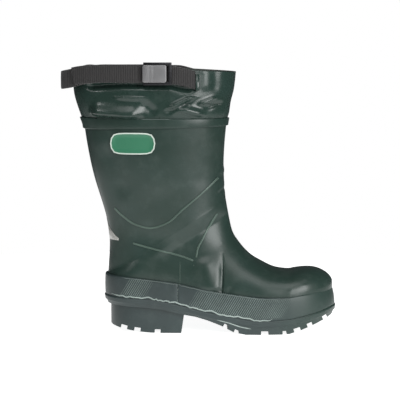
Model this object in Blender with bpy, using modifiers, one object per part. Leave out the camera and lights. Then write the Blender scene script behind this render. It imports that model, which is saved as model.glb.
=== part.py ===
# Rubber boot for the right foot: hollow upper, soft collar with a strap, foxing and a heeled outsole.
# +X points to the toe, +Y to the inner side of the leg, +Z up. The origin lies on the ground, in the
# middle of the heel's flat lug. Lengths are in metres, and tables hold shares of the named sizes.

import math

import bmesh
import bpy
import numpy as np
from mathutils import Matrix, Vector
from mathutils.bvhtree import BVHTree

# Driving sizes of the foot
LAST_LENGTH = 0.3075       # upper at the foxing, heel to toe
HEEL_BACK = -0.0866        # back of the upper's heel along X
HALF_BALL = 0.0525         # half the ball width of the upper
HEEL_HEIGHT = 0.0505       # ground to the top of the outsole under the heel
BALL_HEIGHT = 0.0185       # ground to the top of the outsole under the ball
TOE_RISE = 0.0165          # how much higher the outsole's top is at the toe than at the ball
INSTEP_HEIGHT = 0.1350     # ground to the bend between foot and shaft
SHAFT_HEIGHT = 0.2810      # ground to the top edge of the upper
COLLAR_BACK = 0.0800       # height of the collar at the back
COLLAR_FRONT = 0.0700      # height of the collar at the front

# Walls, bands and clearances
WALL = 0.0026              # rubber wall of the upper
COLLAR_WALL = 0.0018
GAP = 0.0003               # between pieces that touch
TRIM_GAP = 0.0007          # between the curved wall and what lies on it
FOXING_HEIGHT = 0.0320
FOXING_THICKNESS = 0.0032
FOXING_SWELL = 0.0006      # how far the band's middle stands out
CUFF_HEIGHT = 0.0150
CUFF_THICKNESS = 0.0017
CUFF_DROP = 0.0060         # how far the cuff reaches below the upper's top edge
CAP_STEP = 0.0010          # how far the toe cap stands out
CAP_EDGE = 0.805           # share of the length where the toe cap ends

# Outsole and tread
LIP_HEIGHT = 0.0085        # rolled edge under the foxing
LIP_SWELL = 0.0008
HEEL_PLATE = 0.0120        # thickness of the outsole over the heel block
HEEL_INSET = 0.0045        # heel block inside the upper's outline
HEEL_ROCKER = 0.0105       # how far the heel's back edge is off the ground
ROCKER_START = 0.224       # share of the length where the heel lifts off
BREAST = 0.341             # share of the length of the heel's front face, at its top
BREAST_LEAN = 0.0040       # how far the front face leans
ARCH_HEIGHT = 0.0255
TOE_SPRING = 0.0225
GROOVE_DEPTH = 0.0050
GROOVE_WIDTH = 0.0100
INSOLE_THICKNESS = 0.0040
INSOLE_CLEARANCE = 0.0008

# Strap and buckle
STRAP_HEIGHT = 0.0242
STRAP_THICKNESS = 0.0020
STRAP_SLACK = 0.0130       # how far the strap stands off the back of the collar
STRAP_CLEARANCE = 0.0006
TAIL_OVERHANG = 0.0170     # straight run of the strap's free end
FRAME_LENGTH = 0.0375
FRAME_HEIGHT = 0.0300
FRAME_BAR = 0.0045
FRAME_THICKNESS = 0.0026
LEVER_LENGTH = 0.0316
LEVER_HEIGHT = 0.0230
LEVER_THICKNESS = 0.0018
LEVER_OVERHANG = 0.0010    # how far the lever reaches past the frame's back end
KEEPER_WIDTH = 0.0050
KEEPER_THICKNESS = 0.0030
KEEPER_OVERLAP = 0.0020    # how far a keeper reaches past the strap's edges

# Trim
SEAM_WIDTH = 0.0026
SEAM_THICKNESS = 0.0009
SEAM_PITCH = 0.0040        # spacing of the sections along a seam
PATCH_LENGTH = 0.0600
PATCH_HEIGHT = 0.0290
PATCH_THICKNESS = 0.0009
REFLECTOR_HEIGHT = 0.0205
REFLECTOR_HALF_WIDTH = 0.0245
REFLECTOR_THICKNESS = 0.0006

# Mesh density
STATIONS = 28              # along the foot, heel to toe
SHAFT_ROWS = 15
ROUND_STEPS = 24           # round one section of the upper

# Half widths of the foot and its swing to the inner side, as shares of HALF_BALL
PLAN_COLUMNS = "share outer inner swing"
PLAN_ROWS = (
    (0.00, 0.74, 0.73, 0.00),
    (0.12, 0.75, 0.74, 0.00),
    (0.25, 0.77, 0.72, 0.00),
    (0.40, 0.83, 0.69, 0.00),
    (0.55, 0.93, 0.81, 0.01),
    (0.68, 1.00, 0.97, 0.03),
    (0.80, 0.98, 0.98, 0.08),
    (0.90, 0.93, 0.93, 0.12),
    (1.00, 0.87, 0.86, 0.15),
)
HEEL_ROUND = 0.125         # share of the length over which the heel rounds off
TOE_ROUND = 0.215
HEEL_SQUARENESS = 2.1
TOE_SQUARENESS = 2.35

# Top of the outsole as shares of its heel and toe rise, and the foxing over it: its height and the
# thickness at its top edge, which thins to nearly nothing round the toe cap
SEAT_COLUMNS = "share heel toe band edge"
SEAT_ROWS = (
    (0.000, 1.000, 0.00, 0.875, 1.00),
    (0.100, 0.940, 0.00, 0.875, 1.00),
    (0.218, 0.845, 0.00, 0.850, 1.00),
    (0.322, 0.640, 0.00, 0.905, 1.00),
    (0.4435, 0.360, 0.00, 0.925, 1.00),
    (0.578, 0.125, 0.00, 0.985, 1.00),
    (0.676, 0.000, 0.00, 1.000, 1.00),
    (0.790, 0.000, 0.12, 0.925, 0.75),
    (0.902, 0.000, 0.50, 0.880, 0.25),
    (1.000, 0.000, 1.00, 0.800, 0.15),
)

# Underside in front of the heel as shares of the arch height and the toe spring
TREAD_COLUMNS = "share arch spring"
TREAD_ROWS = (
    (0.300, 1.00, 0.00),
    (0.378, 0.94, 0.00),
    (0.4435, 0.73, 0.00),
    (0.486, 0.55, 0.00),
    (0.545, 0.20, 0.00),
    (0.585, 0.00, 0.00),
    (0.780, 0.00, 0.00),
    (0.830, 0.00, 0.14),
    (0.872, 0.00, 0.33),
    (0.918, 0.00, 0.56),
    (0.957, 0.00, 0.77),
    (1.000, 0.00, 1.00),
)

# Grooves across the tread: place as a share of the length, width as a share of GROOVE_WIDTH
GROOVE_ROWS = (
    (0.075, 0.85),
    (0.134, 0.85),
    (0.2235, 0.80),
    (0.519, 0.65),
    (0.566, 0.65),
    (0.693, 1.00),
    (0.780, 0.55),
    (0.837, 0.90),
    (0.893, 0.70),
    (0.962, 0.60),
)

# Sections of the foot. Each stands on the foxing's top at share and ends on the upper's front line
# at front and climb (1 is INSTEP_HEIGHT, 2 is SHAFT_HEIGHT). belly is the least half width as a share
# of HALF_BALL, and keen is how pointed the section's top is.
FOOT_COLUMNS = "share front climb belly keen"
FOOT_ROWS = (
    (0.000, 0.526, 1.308, 0.750, 0.86),
    (0.008, 0.5285, 1.274, 0.745, 0.88),
    (0.038, 0.531, 1.236, 0.740, 0.90),
    (0.083, 0.534, 1.195, 0.740, 0.92),
    (0.142, 0.5375, 1.151, 0.745, 0.96),
    (0.208, 0.542, 1.103, 0.760, 1.00),
    (0.280, 0.547, 1.051, 0.760, 1.04),
    (0.358, 0.5565, 0.981, 0.700, 1.06),
    (0.437, 0.576, 0.911, 0.600, 1.06),
    (0.509, 0.602, 0.833, 0.000, 1.04),
    (0.574, 0.633, 0.763, 0.000, 1.00),
    (0.637, 0.674, 0.711, 0.000, 0.96),
    (0.699, 0.725, 0.644, 0.000, 0.90),
    (0.758, 0.774, 0.607, 0.000, 0.84),
    (0.807, 0.820, 0.604, 0.000, 0.78),
    (0.8625, 0.856, 0.616, 0.000, 0.74),
    (0.912, 0.8985, 0.6215, 0.000, 0.72),
    (0.951, 0.936, 0.606, 0.000, 0.72),
    (0.980, 0.970, 0.567, 0.000, 0.72),
    (0.995, 0.9925, 0.519, 0.000, 0.74),
    (1.000, 1.000, 0.480, 0.000, 0.78),
)

# Sections of the shaft from the heel's back up to the top edge. back and front are shares of
# LAST_LENGTH, rise is the share of the way from the foxing to SHAFT_HEIGHT.
SHAFT_COLUMNS = "row back rise front climb belly keen"
SHAFT_TABLE = (
    (0.00, 0.000, 0.000, 0.526, 1.308, 0.750, 0.86),
    (0.08, 0.002, 0.057, 0.524, 1.356, 0.752, 0.85),
    (0.16, 0.006, 0.126, 0.522, 1.411, 0.756, 0.84),
    (0.25, 0.008, 0.205, 0.5195, 1.473, 0.765, 0.83),
    (0.33, 0.004, 0.289, 0.518, 1.538, 0.780, 0.82),
    (0.42, -0.006, 0.373, 0.517, 1.603, 0.800, 0.81),
    (0.50, -0.021, 0.457, 0.5175, 1.671, 0.825, 0.80),
    (0.58, -0.040, 0.546, 0.519, 1.740, 0.850, 0.80),
    (0.67, -0.058, 0.635, 0.521, 1.805, 0.875, 0.80),
    (0.75, -0.073, 0.728, 0.523, 1.863, 0.895, 0.80),
    (0.83, -0.085, 0.822, 0.5255, 1.911, 0.913, 0.80),
    (0.92, -0.095, 0.911, 0.5275, 1.959, 0.930, 0.80),
    (1.00, -0.103, 1.000, 0.5295, 2.000, 0.945, 0.80),
)

# Sections of the collar over the upper: rise is the share of the collar's height
COLLAR_COLUMNS = "rise back front belly keen"
COLLAR_ROWS = (
    (0.00, -0.1030, 0.5295, 0.945, 0.80),
    (0.12, -0.1150, 0.5345, 0.960, 0.80),
    (0.22, -0.1244, 0.5434, 0.985, 0.80),
    (0.36, -0.1368, 0.5463, 1.003, 0.80),
    (0.50, -0.1466, 0.5532, 1.003, 0.80),
    (0.64, -0.1502, 0.5624, 0.990, 0.80),
    (0.82, -0.1483, 0.5679, 0.985, 0.80),
    (1.00, -0.1424, 0.5718, 0.975, 0.80),
)
STRAP_SEAT = 0.64          # share of the collar's height whose outline the strap follows

# Middle line of the strap: share of the collar's length, from back to front, and height as a share
# of COLLAR_BACK over the shaft
STRAP_COLUMNS = "share height"
STRAP_ROWS = (
    (-0.10, 0.720),
    (0.00, 0.770),
    (0.10, 0.840),
    (0.22, 0.864),
    (0.50, 0.864),
    (0.62, 0.838),
    (0.78, 0.735),
)
STRAP_END = 0.755          # share of the collar's length where the strap goes into its keeper
TAIL_START = 0.422
BUCKLE_PLACE = 0.5295

# Raised seams on both sides of the upper: shares of LAST_LENGTH and of SHAFT_HEIGHT
SEAM_PATHS = {
    "seam_ankle": ((0.035, 0.601), (0.076, 0.560), (0.127, 0.525), (0.190, 0.508), (0.264, 0.532),
                   (0.337, 0.600), (0.439, 0.693), (0.490, 0.745)),
    "seam_instep": ((0.486, 0.573), (0.450, 0.512), (0.4226, 0.455), (0.400, 0.407), (0.393, 0.366)),
    "seam_heel": ((0.1165, 0.434), (0.2298, 0.402), (0.3316, 0.372), (0.380, 0.352)),
}
PATCH_PLACE = (0.1195, 0.915)
REFLECTOR_BASE = 0.438


def smooth_column(keys, values):
    """Smooth function through the rows of one column, with no overshoot between them."""
    keys = np.array(keys)
    values = np.array(values)
    steps = np.diff(keys)
    slopes = np.diff(values) / steps
    tangents = np.zeros(len(keys))
    tangents[0] = slopes[0]
    tangents[-1] = slopes[-1]
    for i in range(1, len(keys) - 1):
        if slopes[i - 1] * slopes[i] > 0:
            before = 2 * steps[i] + steps[i - 1]
            after = steps[i] + 2 * steps[i - 1]
            tangents[i] = (before + after) / (before / slopes[i - 1] + after / slopes[i])

    def value(key):
        key = min(max(key, keys[0]), keys[-1])
        i = min(int(np.searchsorted(keys, key, side="right")) - 1, len(steps) - 1)
        u = (key - keys[i]) / steps[i]
        start = (1 + 2 * u) * (1 - u) ** 2 * values[i] + u * (1 - u) ** 2 * steps[i] * tangents[i]
        end = u * u * (3 - 2 * u) * values[i + 1] + u * u * (u - 1) * steps[i] * tangents[i + 1]
        return float(start + end)

    return value


def columns(names, rows):
    """Dictionary of smooth functions of the first column, one for each other column."""
    names = names.split()
    keys = [row[0] for row in rows]
    return {name: smooth_column(keys, [row[i] for row in rows]) for i, name in enumerate(names) if i}


PLAN = columns(PLAN_COLUMNS, PLAN_ROWS)
SEAT = columns(SEAT_COLUMNS, SEAT_ROWS)
TREAD = columns(TREAD_COLUMNS, TREAD_ROWS)
FOOT = columns(FOOT_COLUMNS, FOOT_ROWS)
SHAFT = columns(SHAFT_COLUMNS, SHAFT_TABLE)
COLLAR = columns(COLLAR_COLUMNS, COLLAR_ROWS)
STRAP = columns(STRAP_COLUMNS, STRAP_ROWS)


def along(share):
    """X at a share of the last's length."""
    return HEEL_BACK + share * LAST_LENGTH


def share_at(x):
    return (x - HEEL_BACK) / LAST_LENGTH


def half_width(share, side):
    """Half width of the upper at the foxing; side is outer or inner."""
    width = HALF_BALL * PLAN[side](share)
    if share < HEEL_ROUND:
        reach = 1 - max(share, 0) / HEEL_ROUND
        width *= (1 - reach ** HEEL_SQUARENESS) ** (1 / HEEL_SQUARENESS)
    if share > 1 - TOE_ROUND:
        reach = (min(share, 1) - 1 + TOE_ROUND) / TOE_ROUND
        width *= max(1 - reach ** TOE_SQUARENESS, 0) ** (1 / TOE_SQUARENESS)
    return width


def swing(share):
    """How far the foot's middle line lies to the inner side."""
    return HALF_BALL * PLAN["swing"](share)


def seat_height(x):
    """Top of the outsole."""
    share = share_at(x)
    rise = SEAT["heel"](share) * (HEEL_HEIGHT - BALL_HEIGHT)
    return BALL_HEIGHT + rise + SEAT["toe"](share) * TOE_RISE


def foxing_top(x):
    return seat_height(x) + SEAT["band"](share_at(x)) * FOXING_HEIGHT


def tread_height(x):
    """Underside of the outsole in front of the heel."""
    share = share_at(x)
    return TREAD["arch"](share) * ARCH_HEIGHT + TREAD["spring"](share) * TOE_SPRING


def rocker_height(x):
    """Underside of the heel block, which lifts towards the back."""
    reach = max((ROCKER_START - share_at(x)) / ROCKER_START, 0)
    return HEEL_ROCKER * reach ** 1.6


def plate_bottom(x):
    """Underside of the outsole's plate: over the heel block, then the arch and the tread."""
    if share_at(x) < BREAST:
        return max(seat_height(x) - HEEL_PLATE, tread_height(x))
    return tread_height(x)


def station_shares():
    """Shares of the length, closer together at both ends, with a pair of rows at the toe cap's edge."""
    cap_rows = (CAP_EDGE - 0.004, CAP_EDGE)
    shares = []
    for i in range(STATIONS + 1):
        share = (1 - math.cos(math.pi * i / STATIONS)) / 2
        if min(abs(share - row) for row in cap_rows) > 0.015:
            shares.append(share)
    return sorted(shares + list(cap_rows))


SHARES = station_shares()
LAST = len(SHARES) - 1


def outline(offset):
    """Plan loop of the foot: heel, outer side, toe, then the inner side back.

    offset moves it outwards, by a length or by a function of the share of the foot's length.
    """
    points = []
    shares = SHARES + SHARES[-2:0:-1]
    for i, share in enumerate(shares):
        if i <= LAST:
            points.append((along(share), swing(share) - half_width(share, "outer")))
        else:
            points.append((along(share), swing(share) + half_width(share, "inner")))
    moved = []
    for i, point in enumerate(points):
        before = points[i - 1]
        after = points[(i + 1) % len(points)]
        run = math.hypot(after[0] - before[0], after[1] - before[1])
        normal = ((after[1] - before[1]) / run, (before[0] - after[0]) / run)
        reach = offset(shares[i]) if callable(offset) else offset
        moved.append((point[0] + normal[0] * reach, point[1] + normal[1] * reach))
    return moved


def new_object(name, mesh, material, collection):
    """Object from a mesh, named and shaded, in its collection."""
    item = bpy.data.objects.new(name, mesh)
    mesh.materials.append(material)
    collection.objects.link(item)
    return item


def finish_mesh(build, name, angle=40):
    """Mesh from a bmesh, its faces turned outwards and its round parts shaded smooth."""
    bmesh.ops.remove_doubles(build, verts=build.verts, dist=0.00001)
    bmesh.ops.recalc_face_normals(build, faces=build.faces)
    mesh = bpy.data.meshes.new(name)
    build.to_mesh(mesh)
    build.free()
    mesh.shade_smooth()
    mesh.set_sharp_from_angle(angle=math.radians(angle))
    return mesh


def face(build, corners):
    """Face from its corners, leaving out those that repeat."""
    kept = []
    for corner in corners:
        if corner not in kept:
            kept.append(corner)
    if len(kept) > 2:
        build.faces.new(kept)


def join_loops(build, lower, upper):
    """Quads between two closed loops of vertices."""
    count = len(lower)
    for i in range(count):
        after = (i + 1) % count
        face(build, (lower[i], lower[after], upper[after], upper[i]))


def loop_vertices(build, offset, height):
    """Vertices of the foot's outline at an offset, each at the height for its place along the foot."""
    return [build.verts.new((x, y, height(x))) for x, y in outline(offset)]


def cap_loop(build, loop):
    """Strips across a closed loop, from its outer side to its inner side."""
    count = len(loop)
    for i in range(count // 2):
        face(build, (loop[i], loop[i + 1], loop[(count - i - 1) % count], loop[-i % count]))


def ring_mesh(name, levels, angle=40):
    """Closed band round the foot through (offset, height) levels, the last joined to the first."""
    build = bmesh.new()
    loops = [loop_vertices(build, offset, height) for offset, height in levels]
    for i, loop in enumerate(loops):
        join_loops(build, loop, loops[(i + 1) % len(loops)])
    return finish_mesh(build, name, angle)


def slab_mesh(name, levels, angle=40):
    """Closed slab of the foot's outline through (offset, height) levels from top to bottom."""
    build = bmesh.new()
    loops = [loop_vertices(build, offset, height) for offset, height in levels]
    for lower, upper in zip(loops, loops[1:]):
        join_loops(build, lower, upper)
    cap_loop(build, loops[0])
    cap_loop(build, loops[-1])
    return finish_mesh(build, name, angle)


def section(back, front, bellies, bases, keen, cap=0.0):
    """Points round one section of the upper, from its outer base over the front to its inner base.

    back and front are (x, z); bellies and bases are the half widths of the outer and inner side,
    at the widest place and at the back end. cap moves the points outwards, away from the base.
    """
    points = []
    half = ROUND_STEPS // 2
    for step in range(ROUND_STEPS + 1):
        side = 0 if step <= half else 1
        turn = step / half if side == 0 else (ROUND_STEPS - step) / half
        start = math.asin(min(bases[side] / bellies[side], 1) ** (1 / keen)) if bellies[side] else math.pi / 2
        angle = start + (math.pi - start) * turn
        share = (math.cos(start) - math.cos(angle)) / (1 + math.cos(start))
        width = bellies[side] * max(math.sin(angle), 0) ** keen
        x = back[0] + (front[0] - back[0]) * share
        z = back[1] + (front[1] - back[1]) * share
        if cap:
            lift = cap * min(turn / 0.2, 1)
            width += lift * math.sin(angle) if width > 0 else 0
            x -= lift * 0.15 * math.cos(angle)
            z -= lift * math.cos(angle)
        middle = swing(share_at(x))
        points.append((x, middle - width if side == 0 else middle + width, z))
    return points


def climb_height(climb):
    """Height on the front line: 1 is the instep, 2 the top edge."""
    return INSTEP_HEIGHT * min(climb, 1) + (SHAFT_HEIGHT - INSTEP_HEIGHT) * max(climb - 1, 0)


def foot_section(index):
    """Section of the foot that stands on the foxing's top at one station."""
    share = SHARES[index]
    x = along(share)
    bases = [half_width(share, side) for side in ("outer", "inner")]
    bellies = [max(base, HALF_BALL * FOOT["belly"](share)) for base in bases]
    front = (along(FOOT["front"](share)), climb_height(FOOT["climb"](share)))
    cap = CAP_STEP if share >= CAP_EDGE and index < LAST else 0.0
    return section((x, foxing_top(x)), front, bellies, bases, FOOT["keen"](share), cap)


def shaft_section(row, swell=0.0):
    """Closed section of the shaft; row runs from 0 at the heel to 1 at the top edge."""
    bottom = foxing_top(HEEL_BACK)
    back = (along(SHAFT["back"](row)) - swell, bottom + SHAFT["rise"](row) * (SHAFT_HEIGHT - bottom))
    front = (along(SHAFT["front"](row)) + swell, climb_height(SHAFT["climb"](row)))
    belly = HALF_BALL * SHAFT["belly"](row) + swell
    return section(back, front, (belly, belly), (0, 0), SHAFT["keen"](row))


def collar_section(rise, swell=0.0):
    """Closed section of the collar; rise runs from 0 at the upper's top edge to 1 at the rim."""
    height = SHAFT_HEIGHT + GAP
    back = (along(COLLAR["back"](rise)) - swell, height + rise * COLLAR_BACK)
    front = (along(COLLAR["front"](rise)) + swell, height + rise * COLLAR_FRONT)
    belly = HALF_BALL * COLLAR["belly"](rise) + swell
    return section(back, front, (belly, belly), (0, 0), COLLAR["keen"](rise))


def join_sections(build, rows):
    """Quads between neighbouring rows of vertices."""
    for lower, upper in zip(rows, rows[1:]):
        for i in range(len(lower) - 1):
            face(build, (lower[i], lower[i + 1], upper[i + 1], upper[i]))


def shell_mesh(build, name, probe):
    """Mesh of an open wall whose faces point away from the probe point inside it."""
    bmesh.ops.remove_doubles(build, verts=build.verts, dist=0.00001)
    bmesh.ops.recalc_face_normals(build, faces=build.faces)
    outward = sum((f.calc_center_median() - probe).dot(f.normal) * f.calc_area() for f in build.faces)
    if outward < 0:
        bmesh.ops.reverse_faces(build, faces=build.faces)
    mesh = bpy.data.meshes.new(name)
    build.to_mesh(mesh)
    build.free()
    mesh.shade_smooth()
    mesh.set_sharp_from_angle(angle=math.radians(50))
    return mesh


def add_wall(item, thickness):
    """Wall of even thickness on the inner side of an open surface."""
    wall = item.modifiers.new("wall", "SOLIDIFY")
    wall.thickness = thickness
    wall.offset = -1
    wall.use_even_offset = True
    wall.use_rim = True


def make_upper(material, collection):
    """Foot and shaft in one wall, open at the top and underneath."""
    build = bmesh.new()
    sections = [foot_section(i) for i in range(LAST, -1, -1)]
    sections += [shaft_section(i / SHAFT_ROWS) for i in range(1, SHAFT_ROWS + 1)]
    join_sections(build, [[build.verts.new(point) for point in row] for row in sections])
    skirt = []
    for share in (0.0, 0.5, 1.0):
        def height(x, share=share):
            return foxing_top(x) + share * (seat_height(x) + GAP - foxing_top(x))
        skirt.append(loop_vertices(build, 0, height))
    for lower, upper in zip(skirt, skirt[1:]):
        join_loops(build, lower, upper)
    item = new_object("upper", shell_mesh(build, "upper", Vector((0, 0, HEEL_HEIGHT))), material, collection)
    add_wall(item, WALL)
    return item


def make_collar(material, collection):
    """Thinner wall over the upper, bulging and drawn in under the strap."""
    build = bmesh.new()
    rises = [i / 10 for i in range(11)]
    join_sections(build, [[build.verts.new(p) for p in collar_section(rise)] for rise in rises])
    middle = Vector((0, 0, SHAFT_HEIGHT + COLLAR_BACK / 2))
    item = new_object("collar", shell_mesh(build, "collar", middle), material, collection)
    add_wall(item, COLLAR_WALL)
    return item


def cuff_section(height, swell):
    """Section round the joint of shaft and collar at a height over the shaft's top edge."""
    if height < 0:
        points = shaft_section(1, swell)
        lower = shaft_section(1 - 1.6 / SHAFT_ROWS, swell)
        share = -height / (points[0][2] - lower[0][2])
        return [tuple(a + (b - a) * share for a, b in zip(p, q)) for p, q in zip(points, lower)]
    return collar_section(height / COLLAR_BACK, swell)


def make_cuff(material, collection):
    """Raised strip over the joint of shaft and collar."""
    build = bmesh.new()
    bottom = -CUFF_DROP
    top = CUFF_HEIGHT - CUFF_DROP
    edge = CUFF_THICKNESS * 0.35
    levels = (
        (bottom, GAP * 2), (bottom, CUFF_THICKNESS - edge), (bottom + edge, CUFF_THICKNESS),
        (-GAP, CUFF_THICKNESS), (top - edge, CUFF_THICKNESS), (top, CUFF_THICKNESS - edge),
        (top, GAP * 2), (0, GAP * 2),
    )
    loops = []
    for height, swell in levels:
        loops.append([build.verts.new(p) for p in cuff_section(height, swell)[:-1]])
    for i, loop in enumerate(loops):
        join_loops(build, loop, loops[(i + 1) % len(loops)])
    return new_object("cuff_band", finish_mesh(build, "cuff_band"), material, collection)


def make_foxing(material, collection):
    """Band round the foot from the outsole's lip up to the foxing line."""
    inner = GAP
    outer = GAP + FOXING_THICKNESS
    edge = FOXING_THICKNESS * 0.35

    def shoulder(share):
        return inner + FOXING_THICKNESS * SEAT["edge"](share)

    def middle(share):
        return (outer + shoulder(share)) / 2 + FOXING_SWELL

    levels = (
        (inner, lambda x: seat_height(x) + GAP),
        (outer, lambda x: seat_height(x) + GAP),
        (middle, lambda x: (seat_height(x) + foxing_top(x)) / 2),
        (shoulder, lambda x: foxing_top(x) - edge),
        (lambda share: inner + (shoulder(share) - inner) * 0.65, foxing_top),
        (inner, foxing_top),
    )
    return new_object("foxing", ring_mesh("foxing", levels), material, collection)


def make_insole(material, collection):
    inside = -(WALL + INSOLE_CLEARANCE)
    levels = (
        (inside, lambda x: seat_height(x) + GAP + INSOLE_THICKNESS),
        (inside, lambda x: seat_height(x) + GAP),
    )
    return new_object("insole", slab_mesh("insole", levels), material, collection)


def make_heel_block(material, collection):
    """Block under the heel: the outline behind the breast, down to the rocker. Joined to the outsole."""
    build = bmesh.new()
    loops = []
    for offset, lean, height in (
        (-HEEL_INSET, 0.0, lambda x: seat_height(x) - HEEL_PLATE + 0.002),
        (-HEEL_INSET, BREAST_LEAN, rocker_height),
    ):
        breast = along(BREAST) - lean
        points = outline(offset)
        outer = [p for p in points[:LAST] if p[0] < breast - 0.002]
        inner = [points[-i % len(points)] for i in range(len(outer))]
        outer.append((breast, outer[-1][1]))
        inner.append((breast, inner[-1][1]))
        loop = outer + inner[:0:-1]
        loops.append([build.verts.new((x, y, height(x))) for x, y in loop])
    join_loops(build, loops[0], loops[1])
    for loop in loops:
        count = len(loop)
        for i in range(count // 2):
            face(build, (loop[i], loop[i + 1], loop[(count - i - 1) % count], loop[-i % count]))
    item = new_object("heel_block", finish_mesh(build, "heel_block"), material, collection)
    item.hide_render = True
    item.display_type = "WIRE"
    return item


def make_grooves(material, collection):
    """Bars across the tread, tilted with the toe spring, as one cutter."""
    build = bmesh.new()
    across = 3 * HALF_BALL
    for share, width in GROOVE_ROWS:
        x = along(share)
        ground = rocker_height if share < BREAST else tread_height
        probe = 0.002
        slope = math.atan2(ground(x + probe) - ground(x - probe), 2 * probe)
        size = Vector((width * GROOVE_WIDTH, across, 4 * GROOVE_DEPTH))
        place = Matrix.Translation((x, 0, ground(x))) @ Matrix.Rotation(-slope, 4, "Y")
        place = place @ Matrix.Translation((0, 0, -GROOVE_DEPTH)) @ Matrix.Diagonal((*size, 1))
        bmesh.ops.create_cube(build, size=1, matrix=place)
    item = new_object("grooves", finish_mesh(build, "grooves"), material, collection)
    item.hide_render = True
    item.display_type = "WIRE"
    return item


def make_outsole(material, collection, cutters):
    """Plate with a rolled lip, arch and toe spring, joined to the heel block and cut into lugs."""
    outer = GAP + FOXING_THICKNESS
    levels = (
        (outer - 0.5 * LIP_SWELL, seat_height),
        (outer + LIP_SWELL, lambda x: seat_height(x) - 0.25 * LIP_HEIGHT),
        (outer, lambda x: seat_height(x) - 0.8 * LIP_HEIGHT),
        (0.4 * outer, lambda x: seat_height(x) - LIP_HEIGHT),
        (0.0, plate_bottom),
    )
    item = new_object("outsole", slab_mesh("outsole", levels), material, collection)
    for name, tool, operation in (
        ("heel", make_heel_block(material, cutters), "UNION"),
        ("lugs", make_grooves(material, cutters), "DIFFERENCE"),
    ):
        cut = item.modifiers.new(name, "BOOLEAN")
        cut.object = tool
        cut.operation = operation
        cut.solver = "EXACT"
    return item


def strip_mesh(name, path, heights, inner, thickness):
    """Flat strap on edge: path holds (x, y, nx, ny) along its inner face, heights its edges."""
    build = bmesh.new()
    rows = []
    for (x, y, nx, ny), (low, high) in zip(path, heights):
        row = []
        for out, z in ((inner, low), (inner + thickness, low), (inner + thickness, high), (inner, high)):
            row.append(build.verts.new((x + nx * out, y + ny * out, z)))
        rows.append(row)
    for lower, upper in zip(rows, rows[1:]):
        join_loops(build, lower, upper)
    build.faces.new(rows[0])
    build.faces.new(rows[-1])
    return finish_mesh(build, name)


def collar_oval():
    """Back, front and half width of the collar's outline where the strap lies."""
    back = along(COLLAR["back"](STRAP_SEAT))
    front = along(COLLAR["front"](STRAP_SEAT))
    return back, front, HALF_BALL * COLLAR["belly"](STRAP_SEAT)


def oval_point(angle, slack=0.0):
    """Plan point of the strap's inner face; angle 0 is the back, pi the front, outer side positive."""
    back, front, belly = collar_oval()
    middle = (back + front) / 2
    reach = (middle - back) + slack if abs(angle) < math.pi / 2 else middle - back
    width = (belly + STRAP_CLEARANCE) * abs(math.sin(angle)) ** COLLAR["keen"](STRAP_SEAT)
    x = middle - (reach + STRAP_CLEARANCE) * math.cos(angle)
    return x, -width if angle > 0 else width


def plan_normals(points):
    """Outward normals of a plan path that runs from the outer side round the back."""
    path = []
    for i, point in enumerate(points):
        before = points[max(i - 1, 0)]
        after = points[min(i + 1, len(points) - 1)]
        run = math.hypot(after[0] - before[0], after[1] - before[1])
        path.append((point[0], point[1], -(after[1] - before[1]) / run, (after[0] - before[0]) / run))
    return path


def strap_edges(x):
    """Lower and upper edge of the strap at a place along the collar."""
    back, front, belly = collar_oval()
    middle = SHAFT_HEIGHT + COLLAR_BACK * STRAP["height"]((x - back) / (front - back))
    return middle - STRAP_HEIGHT / 2, middle + STRAP_HEIGHT / 2


def end_angle(share):
    """Angle round the collar at a share of its length."""
    return math.acos(1 - 2 * share)


def make_strap(material, collection):
    """Inner layer: from the outer keeper round the slack back to the inner keeper."""
    reach = end_angle(STRAP_END)
    count = 44
    points = [oval_point(reach - 2 * reach * i / count, STRAP_SLACK) for i in range(count + 1)]
    path = plan_normals(points)
    heights = [strap_edges(point[0]) for point in points]
    mesh = strip_mesh("strap", path, heights, 0, STRAP_THICKNESS)
    return new_object("strap", mesh, material, collection)


def make_strap_tail(material, collection):
    """Outer layer: from the buckle back over the strap, past the collar with a square end."""
    start = end_angle(TAIL_START)
    stop = math.radians(42)
    count = 10
    points = [oval_point(start + (stop - start) * i / count, STRAP_SLACK) for i in range(count + 1)]
    last, before = points[-1], points[-2]
    run = math.hypot(last[0] - before[0], last[1] - before[1])
    heading = ((last[0] - before[0]) / run, (last[1] - before[1]) / run)
    for i in (1, 2, 3):
        step = TAIL_OVERHANG * i / 3
        points.append((last[0] + heading[0] * step, last[1] + heading[1] * step))
    path = plan_normals(points)
    heights = [strap_edges(point[0]) for point in points]
    inner = STRAP_THICKNESS + GAP
    mesh = strip_mesh("strap_tail", path, heights, inner, STRAP_THICKNESS)
    return new_object("strap_tail", mesh, material, collection)


def box_object(name, size, place, material, collection, bevel):
    """Box with its edges rounded."""
    build = bmesh.new()
    bmesh.ops.create_cube(build, size=1, matrix=place @ Matrix.Diagonal((*size, 1)))
    bmesh.ops.bevel(build, geom=build.edges[:], offset=bevel, segments=2, profile=0.5, affect="EDGES")
    return new_object(name, finish_mesh(build, name), material, collection)


def make_keeper(name, side, material, collection):
    """Upright fold of the collar over the strap's end; side is -1 outside and 1 inside."""
    angle = end_angle(STRAP_END)
    x, y = oval_point(angle)
    ahead = oval_point(angle + 0.02)
    turn = math.atan2(ahead[1] - y, ahead[0] - x)
    low, high = strap_edges(x)
    size = (KEEPER_WIDTH, KEEPER_THICKNESS, high - low + 2 * KEEPER_OVERLAP)
    centre = Vector((x, y * -side, (low + high) / 2))
    place = Matrix.Translation(centre) @ Matrix.Rotation(turn * -side, 4, "Z")
    shift = (GAP + KEEPER_WIDTH / 2, side * KEEPER_THICKNESS / 2, 0)
    return box_object(name, size, place @ Matrix.Translation(shift), material, collection, 0.0008)


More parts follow.
